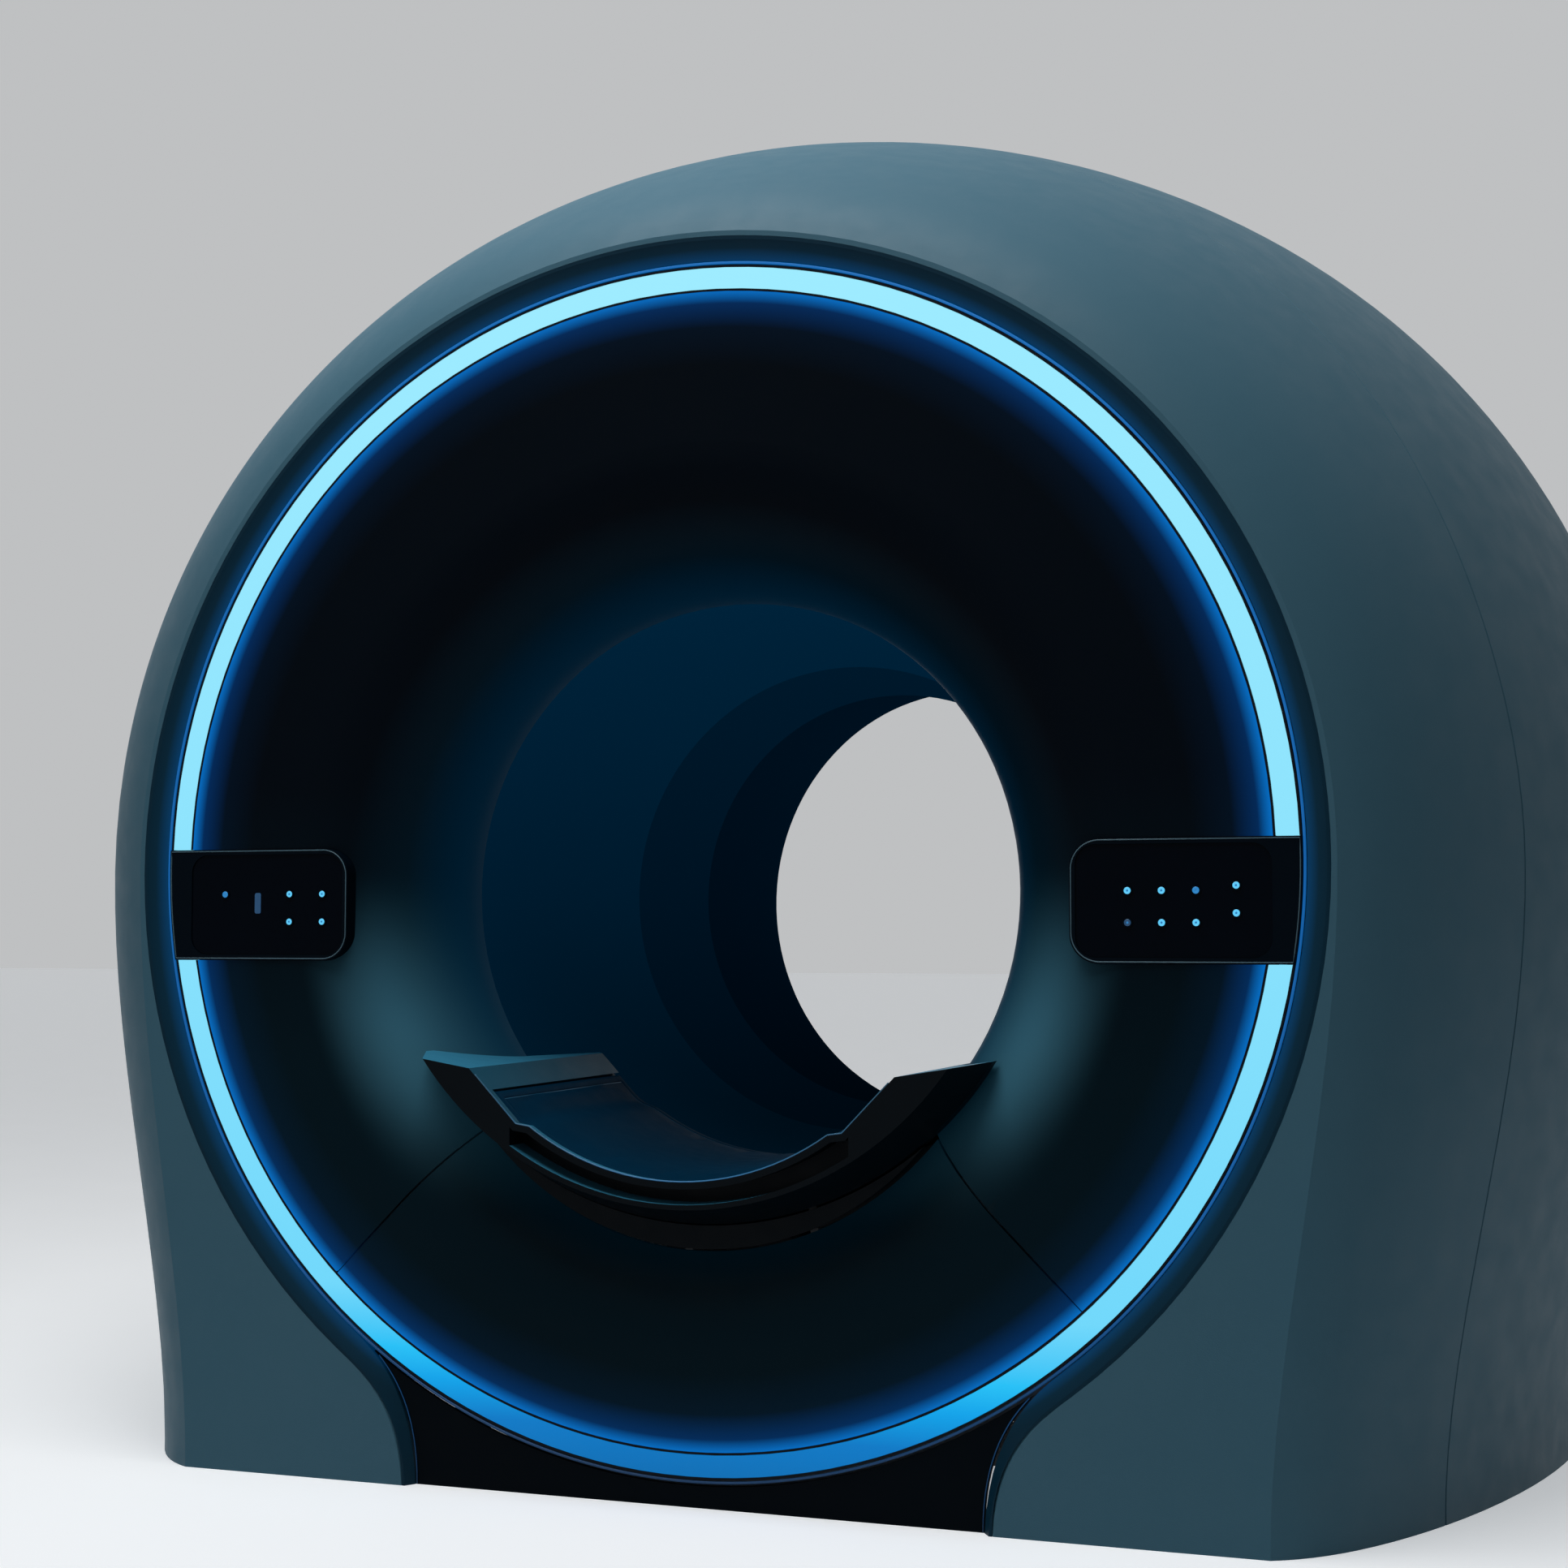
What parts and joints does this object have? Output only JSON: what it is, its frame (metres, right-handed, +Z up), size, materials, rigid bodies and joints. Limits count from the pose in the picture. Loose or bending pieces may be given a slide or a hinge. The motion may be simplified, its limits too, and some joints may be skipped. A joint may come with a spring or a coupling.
{
  "type": "mri scanner",
  "caption": "Closed-bore patient scanner with a rounded shell, a dark round face inside a lit ring, control panels beside the bore, and a padded cradle that slides out of the bore's mouth.",
  "frame": {"origin": "on the floor, in the middle of the floor anchors, under the magnet's centre", "axes": "+Z up; the face looks along -Y; +X is on the right of someone who faces the scanner"},
  "size_m": [2.4918, 1.7055, 2.075],
  "materials": {
    "shell": "satin moulded shell",
    "face": "near-black navy, glossy",
    "trim": "dark teal, satin",
    "kick": "near-black, satin",
    "channel": "dark moulded channel",
    "lamps": "lamp strip",
    "light_upper": "frosted diffuser, lit",
    "light_lower": "frosted diffuser, lit",
    "bore": "deep blue liner, satin",
    "bore_rear": "deep blue liner, satin",
    "status": "lit bar",
    "cradle": "dark teal, satin",
    "pad": "coated fabric cover",
    "bridge": "dark painted beam",
    "bracket": "painted steel",
    "slides": "black anodised",
    "motor": "dark painted can",
    "pulleys": "turned",
    "belt": "toothed belt, plain here",
    "vessel": "painted steel",
    "thermal_shield": "bare sheet",
    "helium": "bare stainless",
    "rods": "fibre-reinforced rod",
    "former": "machined",
    "windings": "copper-clad winding in resin",
    "gradient": "cast resin over copper",
    "wedges": "stiff rubber",
    "body_coil": "glass-fibre tube with copper rungs",
    "supports": "moulded",
    "cooler": "steel and motor can",
    "feet": "painted steel",
    "frame": "painted sheet frame",
    "panel": "near-black tray",
    "panel_glass": "dark tinted plate",
    "button": "lit push button"
  },
  "bodies": {
    "base": {"bore_funnel": "bore", "bore_liner": "bore", "bridge": "bridge", "bridge_bracket": "bracket", "coil_former": "former", "cold_head": "cooler", "cover_frame": "frame", "drive_belt": "belt", "drive_motor": "motor", "face_cover_lower": "face", "face_cover_upper": "face", "front_shroud": "shell", "gradient_coil": "gradient", "gradient_mounts": "wedges", "helium_vessel": "helium", "kick_panel": "kick", "led_strip": "lamps", "light_channel": "channel", "light_diffuser_lower": "light_lower", "light_diffuser_upper": "light_upper", "liner_supports": "supports", "magnet_feet": "feet", "main_coils": "windings", "panel_glass_left": "panel_glass", "panel_glass_right": "panel_glass", "panel_housing_left": "panel", "panel_housing_right": "panel", "radiation_shield": "thermal_shield", "rear_cover": "shell", "rear_flare": "bore_rear", "rear_shroud": "shell", "rf_coil": "body_coil", "shield_coils": "windings", "slide_outer_left": "slides", "slide_outer_right": "slides", "status_light": "status", "suspension_rods": "rods", "trim_ring": "trim", "vacuum_vessel": "vessel"},
    "cradle": {"cradle": "cradle", "cradle_pad": "pad", "slide_inner_left": "slides", "slide_inner_right": "slides"},
    "slide_mid": {"slide_mid_frame": "slides"},
    "drive_pulley": {"drive_pulley": "pulleys"},
    "idler_pulley": {"idler_pulley": "pulleys"},
    "button_left_1": {"button_left_1": "button"},
    "button_left_2": {"button_left_2": "button"},
    "button_left_3": {"button_left_3": "button"},
    "button_left_4": {"button_left_4": "button"},
    "button_left_5": {"button_left_5": "button"},
    "button_right_1": {"button_right_1": "button"},
    "button_right_2": {"button_right_2": "button"},
    "button_right_3": {"button_right_3": "button"},
    "button_right_4": {"button_right_4": "button"},
    "button_right_5": {"button_right_5": "button"},
    "button_right_6": {"button_right_6": "button"},
    "button_right_7": {"button_right_7": "button"},
    "button_right_8": {"button_right_8": "button"}
  },
  "joints": [
    {"name": "cradle_slide", "type": "slide", "parent": "base", "child": "cradle", "axis": [0, -1, 0], "range_m": [0, 0.5]},
    {"name": "mid_slide", "type": "slide", "parent": "base", "child": "slide_mid", "axis": [0, -1, 0], "range_m": [0, 0.25]},
    {"name": "drive_turn", "type": "hinge", "parent": "base", "child": "drive_pulley", "pos_m": [0, -0.468, 0.361], "axis": [1, 0, 0], "range_deg": [0, 1307]},
    {"name": "idler_turn", "type": "hinge", "parent": "base", "child": "idler_pulley", "pos_m": [0, -0.796, 0.361], "axis": [1, 0, 0], "range_deg": [0, 1307]},
    {"name": "press_left_1", "type": "slide", "parent": "base", "child": "button_left_1", "axis": [0, 1, 0], "range_m": [0, 0.0015], "stiffness_N_per_m": 900},
    {"name": "press_left_2", "type": "slide", "parent": "base", "child": "button_left_2", "axis": [0, 1, 0], "range_m": [0, 0.0015], "stiffness_N_per_m": 900},
    {"name": "press_left_3", "type": "slide", "parent": "base", "child": "button_left_3", "axis": [0, 1, 0], "range_m": [0, 0.0015], "stiffness_N_per_m": 900},
    {"name": "press_left_4", "type": "slide", "parent": "base", "child": "button_left_4", "axis": [0, 1, 0], "range_m": [0, 0.0015], "stiffness_N_per_m": 900},
    {"name": "press_left_5", "type": "slide", "parent": "base", "child": "button_left_5", "axis": [0, 1, 0], "range_m": [0, 0.0015], "stiffness_N_per_m": 900},
    {"name": "press_right_1", "type": "slide", "parent": "base", "child": "button_right_1", "axis": [0, 1, 0], "range_m": [0, 0.0015], "stiffness_N_per_m": 900},
    {"name": "press_right_2", "type": "slide", "parent": "base", "child": "button_right_2", "axis": [0, 1, 0], "range_m": [0, 0.0015], "stiffness_N_per_m": 900},
    {"name": "press_right_3", "type": "slide", "parent": "base", "child": "button_right_3", "axis": [0, 1, 0], "range_m": [0, 0.0015], "stiffness_N_per_m": 900},
    {"name": "press_right_4", "type": "slide", "parent": "base", "child": "button_right_4", "axis": [0, 1, 0], "range_m": [0, 0.0015], "stiffness_N_per_m": 900},
    {"name": "press_right_5", "type": "slide", "parent": "base", "child": "button_right_5", "axis": [0, 1, 0], "range_m": [0, 0.0015], "stiffness_N_per_m": 900},
    {"name": "press_right_6", "type": "slide", "parent": "base", "child": "button_right_6", "axis": [0, 1, 0], "range_m": [0, 0.0015], "stiffness_N_per_m": 900},
    {"name": "press_right_7", "type": "slide", "parent": "base", "child": "button_right_7", "axis": [0, 1, 0], "range_m": [0, 0.0015], "stiffness_N_per_m": 900},
    {"name": "press_right_8", "type": "slide", "parent": "base", "child": "button_right_8", "axis": [0, 1, 0], "range_m": [0, 0.0015], "stiffness_N_per_m": 900}
  ],
  "couplings": [
    {"joint": "mid_slide", "follows": "cradle_slide", "ratio": 0.5},
    {"joint": "drive_turn", "follows": "cradle_slide", "rad_per_m": 45.455},
    {"joint": "idler_turn", "follows": "cradle_slide", "rad_per_m": 45.455}
  ]
}
